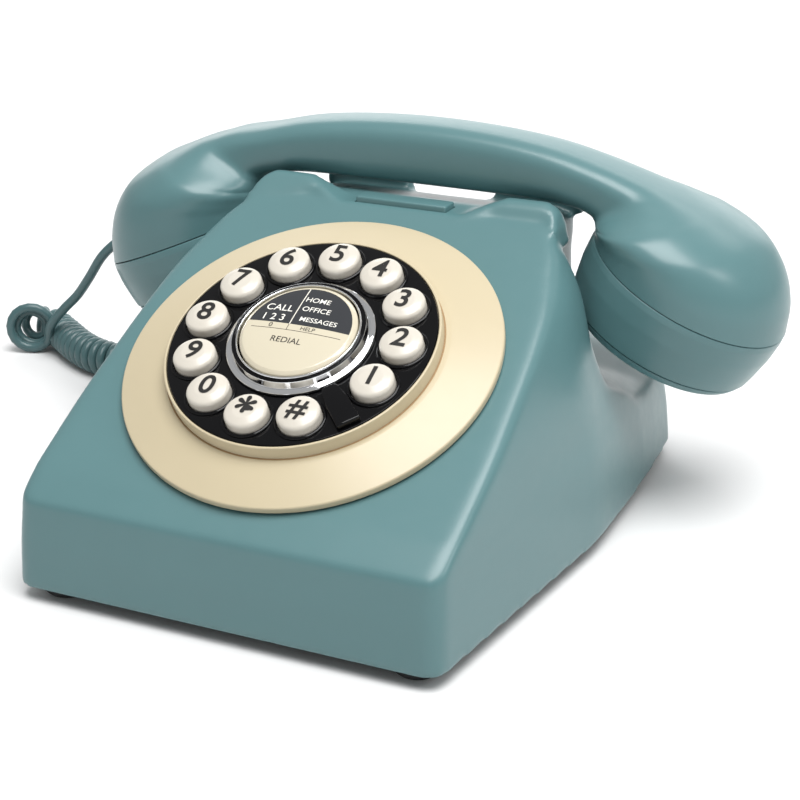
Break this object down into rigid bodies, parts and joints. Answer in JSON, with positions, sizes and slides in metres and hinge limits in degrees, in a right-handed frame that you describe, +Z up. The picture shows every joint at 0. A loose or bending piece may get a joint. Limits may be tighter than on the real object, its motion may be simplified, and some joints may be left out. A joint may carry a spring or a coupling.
{
  "type": "desk telephone",
  "caption": "Desk telephone with a curved handset across horned cradle, sloping case, push keys set in a ring like a rotary dial, and a curly handset cord.",
  "frame": {"origin": "on the table under the middle of the case and handset", "axes": "+X to the right seen from the dial side, +Y towards the back, +Z up"},
  "size_m": [0.3119, 0.217, 0.1178],
  "materials": {
    "black": "polished",
    "board": "solder mask",
    "chrome": "mirror",
    "cord": "satin extrusion",
    "cream": "polished moulding",
    "grey": "matt moulding",
    "ivory": "polished moulding",
    "rubber": "matt",
    "steel": "plain",
    "teal": "polished moulding"
  },
  "bodies": {
    "phone_base": {"case_shell": "teal", "base_plate": "grey", "foot_front_left": "rubber", "foot_front_right": "rubber", "foot_rear_left": "rubber", "foot_rear_right": "rubber", "dial_surround": "cream", "dial_ring": "cream", "dial_face": "black", "finger_stop": "black", "chrome_ring": "chrome", "keypad_membrane": "rubber", "keypad_board": "board", "dial_tray": "grey", "hook_switch": "grey", "main_board": "board", "ballast_weight": "steel", "ringer_speaker": "grey", "handset_port": "grey", "line_port": "grey", "cord_upper_tail": "cord", "cord_coil": "cord", "cord_lower_tail": "cord", "cord_plug": "cord"},
    "key_1_body": {"key_1": "ivory"},
    "key_2_body": {"key_2": "ivory"},
    "key_3_body": {"key_3": "ivory"},
    "key_4_body": {"key_4": "ivory"},
    "key_5_body": {"key_5": "ivory"},
    "key_6_body": {"key_6": "ivory"},
    "key_7_body": {"key_7": "ivory"},
    "key_8_body": {"key_8": "ivory"},
    "key_9_body": {"key_9": "ivory"},
    "key_0_body": {"key_0": "ivory"},
    "key_star_body": {"key_star": "ivory"},
    "key_hash_body": {"key_hash": "ivory"},
    "redial_body": {"redial_button": "cream"},
    "hook_body": {"hook_plunger": "teal", "hook_rod": "steel"},
    "ringer_switch_body": {"ringer_switch": "grey"},
    "handset": {"handset_shell": "teal", "handset_cover": "teal", "ear_cup": "teal", "mouth_cup": "teal", "ear_cap": "teal", "mouth_cap": "teal", "receiver_capsule": "grey", "microphone_capsule": "grey", "handset_weight": "steel", "cord_gland": "cord"}
  },
  "joints": [
    {"name": "key_1_press", "type": "slide", "parent": "phone_base", "child": "key_1_body", "axis": [0, 0.4648, -0.8854], "range_m": [0, 0.0018], "stiffness_N_per_m": 250, "springref_m": -0.002},
    {"name": "key_2_press", "type": "slide", "parent": "phone_base", "child": "key_2_body", "axis": [0, 0.4648, -0.8854], "range_m": [0, 0.0018], "stiffness_N_per_m": 250, "springref_m": -0.002},
    {"name": "key_3_press", "type": "slide", "parent": "phone_base", "child": "key_3_body", "axis": [0, 0.4648, -0.8854], "range_m": [0, 0.0018], "stiffness_N_per_m": 250, "springref_m": -0.002},
    {"name": "key_4_press", "type": "slide", "parent": "phone_base", "child": "key_4_body", "axis": [0, 0.4648, -0.8854], "range_m": [0, 0.0018], "stiffness_N_per_m": 250, "springref_m": -0.002},
    {"name": "key_5_press", "type": "slide", "parent": "phone_base", "child": "key_5_body", "axis": [0, 0.4648, -0.8854], "range_m": [0, 0.0018], "stiffness_N_per_m": 250, "springref_m": -0.002},
    {"name": "key_6_press", "type": "slide", "parent": "phone_base", "child": "key_6_body", "axis": [0, 0.4648, -0.8854], "range_m": [0, 0.0018], "stiffness_N_per_m": 250, "springref_m": -0.002},
    {"name": "key_7_press", "type": "slide", "parent": "phone_base", "child": "key_7_body", "axis": [0, 0.4648, -0.8854], "range_m": [0, 0.0018], "stiffness_N_per_m": 250, "springref_m": -0.002},
    {"name": "key_8_press", "type": "slide", "parent": "phone_base", "child": "key_8_body", "axis": [0, 0.4648, -0.8854], "range_m": [0, 0.0018], "stiffness_N_per_m": 250, "springref_m": -0.002},
    {"name": "key_9_press", "type": "slide", "parent": "phone_base", "child": "key_9_body", "axis": [0, 0.4648, -0.8854], "range_m": [0, 0.0018], "stiffness_N_per_m": 250, "springref_m": -0.002},
    {"name": "key_0_press", "type": "slide", "parent": "phone_base", "child": "key_0_body", "axis": [0, 0.4648, -0.8854], "range_m": [0, 0.0018], "stiffness_N_per_m": 250, "springref_m": -0.002},
    {"name": "key_star_press", "type": "slide", "parent": "phone_base", "child": "key_star_body", "axis": [0, 0.4648, -0.8854], "range_m": [0, 0.0018], "stiffness_N_per_m": 250, "springref_m": -0.002},
    {"name": "key_hash_press", "type": "slide", "parent": "phone_base", "child": "key_hash_body", "axis": [0, 0.4648, -0.8854], "range_m": [0, 0.0018], "stiffness_N_per_m": 250, "springref_m": -0.002},
    {"name": "redial_press", "type": "slide", "parent": "phone_base", "child": "redial_body", "axis": [0, 0.4648, -0.8854], "range_m": [0, 0.0018], "stiffness_N_per_m": 300, "springref_m": -0.002},
    {"name": "hook_press", "type": "slide", "parent": "phone_base", "child": "hook_body", "axis": [0, 0, -1], "range_m": [0, 0.003], "stiffness_N_per_m": 120, "springref_m": -0.003},
    {"name": "ringer_switch_slide", "type": "slide", "parent": "phone_base", "child": "ringer_switch_body", "axis": [1, 0, 0], "range_m": [0, 0.004]},
    {"name": "handset_lift", "type": "slide", "parent": "phone_base", "child": "handset", "axis": [0, 0, 1], "range_m": [0, 0.12]}
  ]
}
